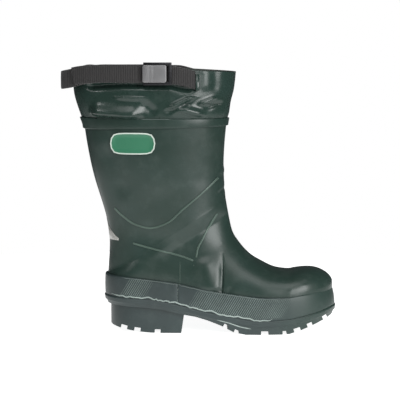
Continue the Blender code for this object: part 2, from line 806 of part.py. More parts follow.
def buckle_place():
    """Plan place and half height of the buckle on the outer side of the collar."""
    x, y = oval_point(end_angle(BUCKLE_PLACE))
    low, high = strap_edges(x)
    return x, y - STRAP_THICKNESS - GAP, (low + high) / 2


def make_buckle(metal, dark, collection, cutters):
    """Dark frame with a window and a flat lever plate lying on it."""
    x, y, z = buckle_place()
    size = (FRAME_LENGTH, FRAME_THICKNESS, FRAME_HEIGHT)
    place = Matrix.Translation((x, y - FRAME_THICKNESS / 2, z))
    frame = box_object("buckle_frame", size, place, dark, collection, 0.0006)
    window = (FRAME_LENGTH - 2 * FRAME_BAR, 4 * FRAME_THICKNESS, FRAME_HEIGHT - 2 * FRAME_BAR)
    hole = box_object("buckle_window", window, place, dark, cutters, 0.0006)
    hole.hide_render = True
    hole.display_type = "WIRE"
    cut = frame.modifiers.new("window", "BOOLEAN")
    cut.object = hole
    cut.operation = "DIFFERENCE"
    cut.solver = "EXACT"
    lever_x = x - (FRAME_LENGTH - LEVER_LENGTH) / 2 - LEVER_OVERHANG
    lever_y = y - FRAME_THICKNESS - GAP - LEVER_THICKNESS / 2
    place = Matrix.Translation((lever_x, lever_y, z))
    size = (LEVER_LENGTH, LEVER_THICKNESS, LEVER_HEIGHT)
    box_object("buckle_lever", size, place, metal, collection, 0.0006)


def smooth_path(points, count):
    """Points along a smooth curve through a few (x, z) pairs."""
    keys = [0.0]
    for a, b in zip(points, points[1:]):
        keys.append(keys[-1] + math.hypot(b[0] - a[0], b[1] - a[1]))
    curves = [smooth_column(keys, [p[i] for p in points]) for i in (0, 1)]
    return [tuple(curve(keys[-1] * i / count) for curve in curves) for i in range(count + 1)]


def wall_hit(tree, origin, direction):
    """Place and normal where a line from outside meets the upper's outer wall."""
    place, normal, index, distance = tree.ray_cast(Vector(origin), Vector(direction))
    return place, normal


def make_seam(name, path, side, tree, material, collection):
    """Thin raised strip that follows the upper along a side-view path."""
    points = [(along(a), b * SHAFT_HEIGHT) for a, b in path]
    length = sum(math.hypot(b[0] - a[0], b[1] - a[1]) for a, b in zip(points, points[1:]))
    count = max(int(length / SEAM_PITCH), 6)
    build = bmesh.new()
    rows = []
    samples = smooth_path(points, count)
    for i, (x, z) in enumerate(samples):
        before = samples[max(i - 1, 0)]
        after = samples[min(i + 1, count)]
        run = math.hypot(after[0] - before[0], after[1] - before[1])
        across = ((before[1] - after[1]) / run, (after[0] - before[0]) / run)
        row = []
        for way in (-0.5, 0.5):
            px = x + across[0] * way * SEAM_WIDTH
            pz = z + across[1] * way * SEAM_WIDTH
            place, normal = wall_hit(tree, (px, side * 4 * HALF_BALL, pz), (0, -side, 0))
            row.append((place + normal * TRIM_GAP, place + normal * (TRIM_GAP + SEAM_THICKNESS)))
        rows.append([build.verts.new(p) for p in (row[0][0], row[0][1], row[1][1], row[1][0])])
    for lower, upper in zip(rows, rows[1:]):
        join_loops(build, lower, upper)
    build.faces.new(rows[0])
    build.faces.new(rows[-1])
    return new_object(name, finish_mesh(build, name), material, collection)


def draped_plate(name, origins, direction, thickness, tree, material, collection):
    """Thin plate on the wall: origins is a grid of starting points, rows of equal length."""
    build = bmesh.new()
    sheets = ([], [])
    for row in origins:
        hits = [wall_hit(tree, origin, direction) for origin in row]
        sheets[0].append([build.verts.new(p + n * TRIM_GAP) for p, n in hits])
        sheets[1].append([build.verts.new(p + n * (TRIM_GAP + thickness)) for p, n in hits])
    for sheet in sheets:
        join_sections(build, sheet)
    rims = []
    for sheet in sheets:
        rim = sheet[0] + [row[-1] for row in sheet[1:]] + sheet[-1][-2::-1]
        rims.append(rim + [row[0] for row in sheet[-2:0:-1]])
    join_loops(build, rims[0], rims[1])
    return new_object(name, finish_mesh(build, name), material, collection)


def make_patch(tree, material, collection):
    """Plain patch with round corners on the outer side, under the cuff band."""
    centre = (along(PATCH_PLACE[0]), PATCH_PLACE[1] * SHAFT_HEIGHT)
    origins = []
    for i in range(7):
        row = []
        for j in range(5):
            u = 2 * i / 6 - 1
            v = 2 * j / 4 - 1
            bend = 0.16
            x = u * (1 - bend * v * v * u * u) * PATCH_LENGTH / 2
            z = v * (1 - bend * v * v * u ** 4) * PATCH_HEIGHT / 2
            row.append((centre[0] + x, -4 * HALF_BALL, centre[1] + z))
        origins.append(row)
    return draped_plate("badge_patch", origins, (0, 1, 0), PATCH_THICKNESS, tree, material, collection)


def make_reflector(tree, material, collection):
    """Plain reflective patch round the back of the ankle, narrow at its top."""
    tall = 3
    wide = 22
    base = REFLECTOR_BASE * SHAFT_HEIGHT
    origins = []
    for j in range(wide + 1):
        across = math.sin(math.pi * (j / wide - 0.5))
        top = REFLECTOR_HEIGHT * (1 - 0.9 * abs(across))
        y = across * REFLECTOR_HALF_WIDTH
        origins.append([(2 * HEEL_BACK, y, base + top * i / tall) for i in range(tall + 1)])
    return draped_plate("heel_reflector", origins, (1, 0, 0), REFLECTOR_THICKNESS, tree, material, collection)


def make_material(name, colour, roughness, metallic=0.0):
    """Principled material of one colour."""
    item = bpy.data.materials.new(name)
    item.use_nodes = True
    shader = item.node_tree.nodes["Principled BSDF"]
    shader.inputs["Base Color"].default_value = (*colour, 1)
    shader.inputs["Roughness"].default_value = roughness
    shader.inputs["Metallic"].default_value = metallic
    item.diffuse_color = (*colour, 1)
    return item


def upper_tree(upper):
    """Search tree of the upper's finished wall."""
    bpy.context.view_layer.update()
    evaluated = upper.evaluated_get(bpy.context.evaluated_depsgraph_get())
    build = bmesh.new()
    build.from_mesh(evaluated.to_mesh())
    tree = BVHTree.FromBMesh(build)
    evaluated.to_mesh_clear()
    build.free()
    return tree


def main():
    for item in list(bpy.data.objects):
        bpy.data.objects.remove(item)
    boot = bpy.data.collections.new("rubber_boot")
    cutters = bpy.data.collections.new("cutters")
    bpy.context.scene.collection.children.link(boot)
    bpy.context.scene.collection.children.link(cutters)

    green_rubber = (0.045, 0.068, 0.057)
    band_rubber = (0.050, 0.070, 0.066)
    webbing = (0.018, 0.016, 0.016)
    upper = make_upper(make_material("upper_rubber", green_rubber, 0.42), boot)
    make_collar(make_material("collar_rubber", green_rubber, 0.48), boot)
    make_cuff(make_material("cuff_rubber", green_rubber, 0.40), boot)
    make_foxing(make_material("foxing_rubber", band_rubber, 0.50), boot)
    make_outsole(make_material("sole_rubber", band_rubber, 0.60), boot, cutters)
    make_insole(make_material("insole_felt", (0.10, 0.10, 0.095), 0.9), boot)
    make_strap(make_material("strap_webbing", webbing, 0.8), boot)
    make_strap_tail(make_material("tail_webbing", webbing, 0.8), boot)
    make_keeper("strap_keeper_lateral", -1, make_material("outer_keeper_rubber", green_rubber, 0.48), boot)
    make_keeper("strap_keeper_medial", 1, make_material("inner_keeper_rubber", green_rubber, 0.48), boot)
    lever_metal = make_material("lever_metal", (0.33, 0.33, 0.33), 0.4, 0.9)
    make_buckle(lever_metal, make_material("frame_metal", (0.06, 0.06, 0.06), 0.45, 0.8), boot, cutters)

    tree = upper_tree(upper)
    for name, path in SEAM_PATHS.items():
        for end, side in (("lateral", -1), ("medial", 1)):
            seam_name = f"{name}_{end}"
            seam_material = make_material(f"{seam_name}_rubber", green_rubber, 0.42)
            make_seam(seam_name, path, side, tree, seam_material, boot)
    make_patch(tree, make_material("patch_vinyl", (0.05, 0.21, 0.12), 0.4), boot)
    make_reflector(tree, make_material("reflector_film", (0.47, 0.46, 0.43), 0.35), boot)


main()
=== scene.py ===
import math

import bmesh
import bpy
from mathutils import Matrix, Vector
from mathutils.bvhtree import BVHTree


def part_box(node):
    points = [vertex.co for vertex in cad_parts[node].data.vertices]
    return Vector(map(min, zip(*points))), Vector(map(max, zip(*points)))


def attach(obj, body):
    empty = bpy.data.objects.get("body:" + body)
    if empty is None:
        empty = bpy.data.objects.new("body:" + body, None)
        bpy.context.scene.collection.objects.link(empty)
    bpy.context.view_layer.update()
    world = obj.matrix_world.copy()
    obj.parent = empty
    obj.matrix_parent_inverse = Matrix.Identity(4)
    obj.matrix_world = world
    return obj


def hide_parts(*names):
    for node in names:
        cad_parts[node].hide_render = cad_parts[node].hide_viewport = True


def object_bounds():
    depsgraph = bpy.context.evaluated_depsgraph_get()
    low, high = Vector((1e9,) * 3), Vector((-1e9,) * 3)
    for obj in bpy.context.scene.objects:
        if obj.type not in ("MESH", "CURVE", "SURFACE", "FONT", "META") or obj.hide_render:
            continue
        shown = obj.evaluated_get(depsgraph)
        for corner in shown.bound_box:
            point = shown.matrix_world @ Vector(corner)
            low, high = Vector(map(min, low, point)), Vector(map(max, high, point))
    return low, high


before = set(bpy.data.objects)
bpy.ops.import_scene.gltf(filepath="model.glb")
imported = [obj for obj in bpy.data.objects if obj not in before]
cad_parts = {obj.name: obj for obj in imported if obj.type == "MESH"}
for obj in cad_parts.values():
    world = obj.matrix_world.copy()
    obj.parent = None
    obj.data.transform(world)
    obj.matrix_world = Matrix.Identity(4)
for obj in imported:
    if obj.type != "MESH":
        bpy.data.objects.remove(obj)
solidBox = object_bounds()
mm = 0.001


def linear(hexColour):
    # sRGB hex to the linear colour that the shaders take
    parts = [int(hexColour[i:i + 2], 16) / 255 for i in (1, 3, 5)]
    return tuple(c / 12.92 if c <= 0.04045 else ((c + 0.055) / 1.055) ** 2.4 for c in parts) + (1.0,)


def addNode(tree, kind, inputs=None, **settings):
    # one node with its settings, its values and its links
    node = tree.nodes.new(kind)
    for key, value in settings.items():
        setattr(node, key, value)
    for key, value in (inputs or {}).items():
        if isinstance(value, bpy.types.NodeSocket):
            tree.links.new(value, node.inputs[key])
        else:
            node.inputs[key].default_value = value
    return node


def startMaterial(name, colour, **values):
    material = bpy.data.materials.new(name)
    material.use_nodes = True
    shader = material.node_tree.nodes["Principled BSDF"]
    shader.inputs["Base Color"].default_value = linear(colour)
    for key, value in values.items():
        shader.inputs[key].default_value = value
    return material, material.node_tree, shader


def objectPattern(tree):
    return addNode(tree, "ShaderNodeTexCoord").outputs["Object"]


def mixColours(tree, share, first, second):
    # colour between two, each a value or a socket
    node = addNode(tree, "ShaderNodeMix", {0: share, 6: first, 7: second}, data_type="RGBA")
    return node.outputs[2]


def waveScale(period):
    # scale of a wave texture whose bands lie this far apart
    return math.pi / 10 / period


# Materials

rubber = {
    # the pale pairs after the sole's are lighter rubber that paints highlights: on rib crests and edges, on flash
    # beads, on seams
    "green": ("#243530", "#21312b"), "sole": ("#2c3838", "#263131"), "edgeHighlight": ("#66736f", "#4f5b57"), "flash": ("#98a4a0", "#7c8884"),
    "seam": ("#46584f", "#3a4b43"),
    "bloom": 0.05, "toeBlend": (130 * mm, 185 * mm), "mottle": 60 * mm, "skin": 0.9 * mm, "ripple": 18 * mm,
}


def makeRubber(name, gloss, colours):
    # Natural rubber, dipped and lacquered: dark green, a soft gloss that breaks up over faint ripples,
    # and a grey bloom in patches.
    colour, deep = [linear(tone) for tone in colours]
    material, tree, shader = startMaterial(name, colours[0], **{"Coat Weight": 0.10, "Coat Roughness": 0.26,
                                                                "Specular IOR Level": 0.36})
    where = objectPattern(tree)
    mottle = addNode(tree, "ShaderNodeTexNoise", {"Vector": where, "Scale": 1 / rubber["mottle"], "Detail": 4.0,
                                                  "Roughness": 0.6})
    patches = addNode(tree, "ShaderNodeMapRange", {"Value": mottle.outputs["Fac"], "From Min": 0.38, "From Max": 0.68})
    shade = mixColours(tree, patches.outputs["Result"], deep, colour)
    fine = addNode(tree, "ShaderNodeTexNoise", {"Vector": where, "Scale": 1 / rubber["skin"], "Detail": 3.0})
    dust = addNode(tree, "ShaderNodeTexNoise", {"Vector": where, "Scale": 1 / rubber["ripple"], "Detail": 5.0,
                                                "Roughness": 0.65})
    bloomed = addNode(tree, "ShaderNodeMapRange", {"Value": dust.outputs["Fac"], "From Min": 0.50, "From Max": 0.80,
                                                   "To Max": rubber["bloom"]})
    if colours != rubber["green"]:
        # towards the toe the sole's rubber takes the upper's colour
        along = addNode(tree, "ShaderNodeSeparateXYZ", {"Vector": where}).outputs["X"]
        toe = addNode(tree, "ShaderNodeMapRange", {"Value": along, "From Min": rubber["toeBlend"][0],
                                                   "From Max": rubber["toeBlend"][1]})
        shade = mixColours(tree, toe.outputs["Result"], shade, linear(rubber["green"][0]))
    bloom = mixColours(tree, bloomed.outputs["Result"], shade, linear("#8a9690"))
    tree.links.new(bloom, shader.inputs["Base Color"])
    rough = addNode(tree, "ShaderNodeMapRange", {"Value": dust.outputs["Fac"], "From Min": 0.3, "From Max": 0.7,
                                                 "To Min": gloss - 0.03, "To Max": gloss + 0.04})
    tree.links.new(rough.outputs["Result"], shader.inputs["Roughness"])
    ripple = addNode(tree, "ShaderNodeBump", {"Height": dust.outputs["Fac"], "Strength": 0.10,
                                              "Distance": 0.6 * mm})
    skin = addNode(tree, "ShaderNodeBump", {"Height": fine.outputs["Fac"], "Strength": 0.20,
                                            "Distance": 0.05 * mm, "Normal": ripple.outputs["Normal"]})
    tree.links.new(skin.outputs["Normal"], shader.inputs["Normal"])
    return material


def makeKnit():
    # Cotton knit bonded inside the rubber: matt, with rows of small loops 1.6 mm apart
    material, tree, shader = startMaterial("cottonKnitLining", "#3d423f", Roughness=0.95)
    where = objectPattern(tree)
    rows = addNode(tree, "ShaderNodeTexWave", {"Vector": where, "Scale": waveScale(1.6 * mm),
                                               "Distortion": 1.5, "Detail": 2.0}, bands_direction="Z")
    tone = mixColours(tree, rows.outputs["Fac"], linear("#2f3330"), linear("#4a504c"))
    tree.links.new(tone, shader.inputs["Base Color"])
    bump = addNode(tree, "ShaderNodeBump", {"Height": rows.outputs["Fac"], "Strength": 0.6, "Distance": 0.3 * mm})
    tree.links.new(bump.outputs["Normal"], shader.inputs["Normal"])
    return material


def makeFelt():
    # Pressed wool felt: matt grey with short tangled fibres
    material, tree, shader = startMaterial("pressedFelt", "#5a5a57", Roughness=0.97)
    where = objectPattern(tree)
    fibre = addNode(tree, "ShaderNodeTexNoise", {"Vector": where, "Scale": 1 / (1.2 * mm), "Detail": 6.0,
                                                 "Roughness": 0.8})
    tone = mixColours(tree, fibre.outputs["Fac"], linear("#454542"), linear("#6d6d69"))
    tree.links.new(tone, shader.inputs["Base Color"])
    bump = addNode(tree, "ShaderNodeBump", {"Height": fibre.outputs["Fac"], "Strength": 0.8, "Distance": 0.4 * mm})
    tree.links.new(bump.outputs["Normal"], shader.inputs["Normal"])
    return material


def makeWebbing():
    # Polypropylene webbing: near black with a brown cast, a dull sheen on each cord of the weave.
    # u runs along the strap in metres and v across it. The cords are modelled; the threads are bump. The grooves
    # between the cords are painted near black: painted shade.
    material, tree, shader = startMaterial("wovenPolypropylene", "#2b2828", Roughness=0.70,
                                           **{"Sheen Weight": 0.25, "Sheen Roughness": 0.5})
    where = addNode(tree, "ShaderNodeUVMap", uv_map="weave").outputs["UV"]
    grooveShadeBands = addNode(tree, "ShaderNodeTexWave", {"Vector": where, "Scale": waveScale(strap["rib"])},
                    bands_direction="X")
    threads = addNode(tree, "ShaderNodeTexWave", {"Vector": where, "Scale": waveScale(1.1 * mm),
                                                  "Distortion": 0.6, "Detail": 2.0}, bands_direction="Y")
    fuzz = addNode(tree, "ShaderNodeTexNoise", {"Vector": where, "Scale": 1 / (2.2 * mm), "Detail": 5.0,
                                                "Roughness": 0.7})
    cord = mixColours(tree, fuzz.outputs["Fac"], linear("#191717"), linear("#2b2828"))
    # grooves between the cords darkened to near black: painted shade
    tone = mixColours(tree, grooveShadeBands.outputs["Fac"], cord, linear("#050505"))
    tree.links.new(tone, shader.inputs["Base Color"])
    bump = addNode(tree, "ShaderNodeBump", {"Height": threads.outputs["Fac"], "Strength": 0.7,
                                            "Distance": 0.15 * mm})
    grain = addNode(tree, "ShaderNodeBump", {"Height": fuzz.outputs["Fac"], "Strength": 0.4,
                                             "Distance": 0.15 * mm, "Normal": bump.outputs["Normal"]})
    tree.links.new(grain.outputs["Normal"], shader.inputs["Normal"])
    return material


def makeSteel(name, colour, roughness, grain):
    # Stamped steel, drawn lengthwise: dull, with fine lines along X
    material, tree, shader = startMaterial(name, colour, Metallic=0.9, Roughness=roughness)
    where = objectPattern(tree)
    stretch = addNode(tree, "ShaderNodeMapping", {"Vector": where, "Scale": (0.03, 1.0, 1.0)})
    lines = addNode(tree, "ShaderNodeTexNoise", {"Vector": stretch.outputs["Vector"], "Scale": 1 / grain,
                                                 "Detail": 4.0})
    rough = addNode(tree, "ShaderNodeMapRange", {"Value": lines.outputs["Fac"], "From Min": 0.3, "From Max": 0.7,
                                                 "To Min": roughness - 0.08, "To Max": roughness + 0.10})
    tree.links.new(rough.outputs["Result"], shader.inputs["Roughness"])
    bump = addNode(tree, "ShaderNodeBump", {"Height": lines.outputs["Fac"], "Strength": 0.3,
                                            "Distance": 0.05 * mm})
    tree.links.new(bump.outputs["Normal"], shader.inputs["Normal"])
    return material


def makeVinyl(name, colour):
    # Printed vinyl patch: even colour, low gloss, slightly pebbled
    material, tree, shader = startMaterial(name, colour, Roughness=0.42)
    where = objectPattern(tree)
    pebble = addNode(tree, "ShaderNodeTexNoise", {"Vector": where, "Scale": 1 / (1.4 * mm), "Detail": 3.0})
    bump = addNode(tree, "ShaderNodeBump", {"Height": pebble.outputs["Fac"], "Strength": 0.3,
                                            "Distance": 0.08 * mm})
    tree.links.new(bump.outputs["Normal"], shader.inputs["Normal"])
    return material


def makeFilm():
    # Reflective film: pale grey, satin, with cells 2 mm across
    material, tree, shader = startMaterial("retroreflectiveFilm", "#c9c8c4", Roughness=0.32,
                                           **{"Coat Weight": 0.4, "Coat Roughness": 0.15})
    where = objectPattern(tree)
    cells = addNode(tree, "ShaderNodeTexVoronoi", {"Vector": where, "Scale": 1 / (2 * mm)},
                    feature="DISTANCE_TO_EDGE")
    edge = addNode(tree, "ShaderNodeMapRange", {"Value": cells.outputs["Distance"], "From Min": 0.0,
                                                "From Max": 0.12})
    tone = mixColours(tree, edge.outputs["Result"], linear("#858581"), linear("#9c9c97"))
    tree.links.new(tone, shader.inputs["Base Color"])
    return material


strap = {
    "rib": 3.0 * mm, "crest": 0.55 * mm, "column": 0.6 * mm,
    "endReach": 26 * mm, "endSlant": 5.5 * mm, "endLift": 2.4 * mm,
}

bootRubber = makeRubber("lacqueredRubber", 0.34, rubber["green"])
collarRubber = makeRubber("softThinRubber", 0.27, rubber["green"])
soleRubber = makeRubber("mouldedSoleRubber", 0.46, rubber["sole"])
# seam rubber is paler than the green: painted highlight along the seam crests
seamPaintedHighlightRubber = makeRubber("raisedSeamPaintedHighlight", 0.36, rubber["seam"])
# pale rubber for ribs and edges: painted highlight on their crests
paintedHighlightRubber = makeRubber("ribEdgePaintedHighlight", 0.44, rubber["edgeHighlight"])
# pale rubber for the flash beads: painted highlight along the squeezed-out rubber
flashPaintedHighlightRubber = makeRubber("flashBeadPaintedHighlight", 0.30, rubber["flash"])
knit = makeKnit()
felt = makeFelt()
webbing = makeWebbing()
leverSteel = makeSteel("drawnSteelPlate", "#8c8c8d", 0.48, 0.5 * mm)
# much lighter steel for the lever's rolled lip: painted highlight line
lipHighlightSteel = makeSteel("lipSteelPaintedHighlight", "#d2d2d2", 0.30, 0.8 * mm)
frameSteel = makeSteel("blackenedSteel", "#38383a", 0.36, 0.8 * mm)
greenVinyl = makeVinyl("greenVinyl", "#2c6b4f")
paleVinyl = makeVinyl("paleVinylBorder", "#b9c4bb")
film = makeFilm()
print("materials made")


# Shared modelling steps

def solidCopy(node):
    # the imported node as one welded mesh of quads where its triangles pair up
    bm = bmesh.new()
    bm.from_mesh(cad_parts[node].data)
    bmesh.ops.remove_doubles(bm, verts=bm.verts, dist=0.02 * mm)
    bmesh.ops.join_triangles(bm, faces=bm.faces, angle_face_threshold=math.radians(30),
                             angle_shape_threshold=math.radians(60))
    return bm


def outerSkin(bm, sharp=60):
    # keeps the largest patch of faces that no edge sharper than this angle divides
    left = set(bm.faces)
    best = []
    while left:
        patch = [left.pop()]
        for face in patch:
            for edge in face.edges:
                for other in edge.link_faces:
                    if other in left and face.normal.angle(other.normal, 0) < math.radians(sharp):
                        left.discard(other)
                        patch.append(other)
        if sum(f.calc_area() for f in patch) > sum(f.calc_area() for f in best):
            best = patch
    keep = set(best)
    bmesh.ops.delete(bm, geom=[f for f in bm.faces if f not in keep], context="FACES")
    return bm


def newObject(name, bm, *materials):
    mesh = bpy.data.meshes.new(name)
    bm.to_mesh(mesh)
    bm.free()
    mesh.shade_smooth()
    for material in materials:
        mesh.materials.append(material)
    piece = bpy.data.objects.new(name, mesh)
    bpy.context.scene.collection.objects.link(piece)
    return piece


def addModifier(piece, name, kind, **settings):
    modifier = piece.modifiers.new(name, kind)
    for key, value in settings.items():
        setattr(modifier, key, value)
    return modifier


def smoothed(piece, levels):
    return addModifier(piece, "smooth", "SUBSURF", levels=levels, render_levels=levels)


def applied(piece):
    # the piece with its modifiers made part of the mesh
    bpy.context.view_layer.update()
    final = piece.evaluated_get(bpy.context.evaluated_depsgraph_get())
    mesh = bpy.data.meshes.new_from_object(final)
    piece.modifiers.clear()
    old = piece.data
    piece.data = mesh
    bpy.data.meshes.remove(old)
    mesh.name = piece.name
    return piece


def meshTree(piece):
    bm = bmesh.new()
    bm.from_mesh(piece.data)
    tree = BVHTree.FromBMesh(bm)
    bm.free()
    return tree


def finishPiece(piece, slot, *nodes):
    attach(piece, "root")
    if nodes:
        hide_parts(*nodes)
    return piece


def smoothStep(value, low, high):
    t = min(max((value - low) / (high - low), 0.0), 1.0)
    return t * t * (3 - 2 * t)


def foldOffset(x, z, fold):
    # height of one trough or ridge at a side-view point; it fades towards both ends of its line
    line = fold["line"]
    best = None
    run = 0.0
    total = sum(math.dist(a, b) for a, b in zip(line, line[1:]))
    for a, b in zip(line, line[1:]):
        dx, dz = b[0] - a[0], b[1] - a[1]
        length = math.hypot(dx, dz)
        t = min(max(((x - a[0]) * dx + (z - a[1]) * dz) / length ** 2, 0), 1)
        away = (x - a[0] - t * dx, z - a[1] - t * dz)
        side = dx * away[1] - dz * away[0]
        gap = math.hypot(*away)
        if best is None or gap < best[0]:
            best = (gap, (run + t * length) / total, side)
        run += length
    gap, share, side = best
    width = fold["width"] * (fold.get("sharp", 1.0) if side < 0 else 1.0)
    fade = smoothStep(share, 0, fold.get("rise", 0.3)) * smoothStep(1 - share, 0, fold.get("fall", 0.3))
    if gap > 3 * width:
        return 0.0
    return fold["depth"] * fade * math.exp(-(gap / width) ** 2)


def mould(piece, folds, ceiling=None):
    # soft troughs (minus) and ridges (plus) along the surface normals, in the boot's own millimetres;
    # the ceiling keeps ridges down where something lies on the surface
    mesh = piece.data
    moved = []
    for vertex in mesh.vertices:
        x, y, z = vertex.co / mm
        offset = 0.0
        for fold in folds:
            side = fold.get("side", 0)
            facing = 1.0 if side == 0 else smoothStep(vertex.normal.y * side, fold.get("facing", -0.05), 0.45)
            if facing > 0:
                offset += facing * foldOffset(x, z, fold)
        if ceiling:
            offset = min(offset, ceiling(x, z))
        moved.append(vertex.co + vertex.normal * offset * mm)
    for vertex, place in zip(mesh.vertices, moved):
        vertex.co = place
    mesh.update()


def routeOn(tree, line, side, lift):
    # places on a surface along a side-view line of (x, z) in millimetres
    places = []
    for (ax, az), (bx, bz) in zip(line, line[1:]):
        steps = max(1, round(math.hypot(bx - ax, bz - az) / 1.5))
        for i in range(steps + 1):
            x, z = ax + (bx - ax) * i / steps, az + (bz - az) * i / steps
            place, normal, index, gap = tree.ray_cast(Vector((x * mm, side * 0.2, z * mm)), Vector((0, -side, 0)))
            if place:
                places.append(place + normal * lift)
    return places


def layOn(bm, skin, proud, sunk):
    # a thin plate laid on a surface: its outer side stands proud, its inner side is sunk in
    bm.normal_update()
    laid = []
    for vertex in bm.verts:
        place, normal, index, gap = skin.find_nearest(vertex.co)
        laid.append((vertex, place + normal * (proud if vertex.normal.dot(normal) > 0 else -sunk)))
    for vertex, place in laid:
        vertex.co = place


def bead(name, places, radius, material):
    # a thin round rib along a line of places
    curve = bpy.data.curves.new(name, "CURVE")
    curve.dimensions = "3D"
    curve.bevel_depth = radius
    curve.bevel_resolution = 2
    curve.use_fill_caps = True
    line = curve.splines.new("POLY")
    line.points.add(len(places) - 1)
    for i, place in enumerate(places):
        line.points[i].co = (*place, 1.0)
        line.points[i].radius = 0.35 + 0.65 * smoothStep(min(i, len(places) - 1 - i), 0, 4)
    holder = bpy.data.objects.new(name, curve)
    bpy.context.scene.collection.objects.link(holder)
    bpy.context.view_layer.update()
    mesh = bpy.data.meshes.new_from_object(holder.evaluated_get(bpy.context.evaluated_depsgraph_get()))
    bpy.data.objects.remove(holder)
    bm = bmesh.new()
    bm.from_mesh(mesh)
    bmesh.ops.remove_doubles(bm, verts=bm.verts, dist=0.001 * mm)
    bmesh.ops.recalc_face_normals(bm, faces=bm.faces)
    keepInside(bm)
    return newObject(name, bm, material)


def keepInside(bm):
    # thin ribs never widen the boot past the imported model
    low, high = solidBox
    for vertex in bm.verts:
        vertex.co.y = min(max(vertex.co.y, low[1]), high[1])


outer, inner = -1, 1

# Upper: foot and shaft

upper = {
    "wall": 2.6 * mm, "levels": 2, "creaseCuts": (67 * mm, 69 * mm, 71 * mm, 73 * mm),
    "capZone": (150 * mm, 182 * mm, 82 * mm), "capTurns": 14, "toeTip": 212 * mm,
    "folds": [
        # crease where the foot bends, with its sharp edge to the toe
        {"line": [(68.5, 54), (70.0, 80), (70.5, 95), (69.5, 112)], "depth": -2.6, "width": 4.6, "side": outer,
         "rise": 0.03, "fall": 0.5, "sharp": 0.34},
        {"line": [(79.5, 66), (80.5, 55)], "depth": -1.2, "width": 2.2, "side": outer, "fall": 0.05},
        # swelling behind that crease, over the ankle's front
        {"line": [(40, 106), (47, 86), (52, 56)], "depth": 3.2, "width": 12.5, "side": outer, "fall": 0.1},
        # hollow between shaft and heel, then the heel's cup
        {"line": [(-60, 142), (-20, 128), (20, 122), (48, 132)], "depth": -1.6, "width": 15, "side": outer},
        {"line": [(-74, 92), (-30, 86), (20, 80)], "depth": 1.0, "width": 16, "side": outer},
        # long shallow waves down the shaft
        {"line": [(-88, 262), (-72, 215), (-58, 175)], "depth": -1.8, "width": 14, "side": outer},
        {"line": [(-30, 265), (-20, 220), (-12, 180)], "depth": 1.2, "width": 22, "side": outer},
        {"line": [(52, 262), (44, 225), (42, 190)], "depth": -1.0, "width": 14, "side": outer},
        # bumps on the shin at the ankle seam's ends
        {"line": [(76, 222), (66, 214)], "depth": 0.8, "width": 3.0, "rise": 0.02},
        {"line": [(76, 196), (68, 190), (62, 184)], "depth": -0.9, "width": 2.2, "rise": 0.02},
        # vamp: faint trough over the toes
        {"line": [(96, 104), (120, 84), (150, 76)], "depth": -0.8, "width": 12},
        # inner side
        {"line": [(69, 112), (71, 90), (70, 58)], "depth": -1.8, "width": 5, "side": inner, "rise": 0.4},
        {"line": [(50, 104), (56, 80), (58, 62)], "depth": 2.0, "width": 12, "side": inner},
        {"line": [(-58, 146), (-10, 130), (40, 136)], "depth": -1.6, "width": 14, "side": inner},
        {"line": [(-80, 258), (-66, 210), (-52, 176)], "depth": -1.5, "width": 13, "side": inner},
        {"line": [(10, 262), (6, 220), (4, 184)], "depth": 1.2, "width": 20, "side": inner},
    ],
}


def softenCap(piece):
    # the toe cap's edge runs out on the side, where the foxing starts
    bm = bmesh.new()
    bm.from_mesh(piece.data)
    low, high, top = upper["capZone"]
    zone = [v for v in bm.verts if low < v.co.x < high and v.co.z < top and not v.is_boundary]
    for turn in range(upper["capTurns"]):
        bmesh.ops.smooth_vert(bm, verts=zone, factor=0.5, use_axis_x=False, use_axis_y=True, use_axis_z=True)
    bm.to_mesh(piece.data)
    bm.free()


def makeUpper():
    bm = outerSkin(solidCopy("upper"))
    tip = [v for v in bm.verts if v.co.x > upper["toeTip"]]
    bmesh.ops.remove_doubles(bm, verts=tip, dist=0.9 * mm)
    for x in upper["creaseCuts"]:
        # finer mesh where the sharp crease runs
        near = [f for f in bm.faces if f.calc_center_median().y < 0 and f.calc_center_median().z < 0.125]
        cut = near + [e for f in near for e in f.edges] + [v for f in near for v in f.verts]
        bmesh.ops.bisect_plane(bm, geom=list(set(cut)), dist=0.001 * mm, plane_co=(x, 0, 0), plane_no=(1, 0, 0))
    piece = newObject("upperShell", bm, bootRubber, knit)
    smoothed(piece, upper["levels"])
    applied(piece)
    softenCap(piece)
    mould(piece, upper["folds"])
    skin = meshTree(piece)
    addModifier(piece, "wall", "SOLIDIFY", thickness=upper["wall"], offset=-1, use_rim=True,
                material_offset=1, material_offset_rim=0)
    return finishPiece(piece, "boot_rubber", "upper"), skin


# Collar over the cuff band

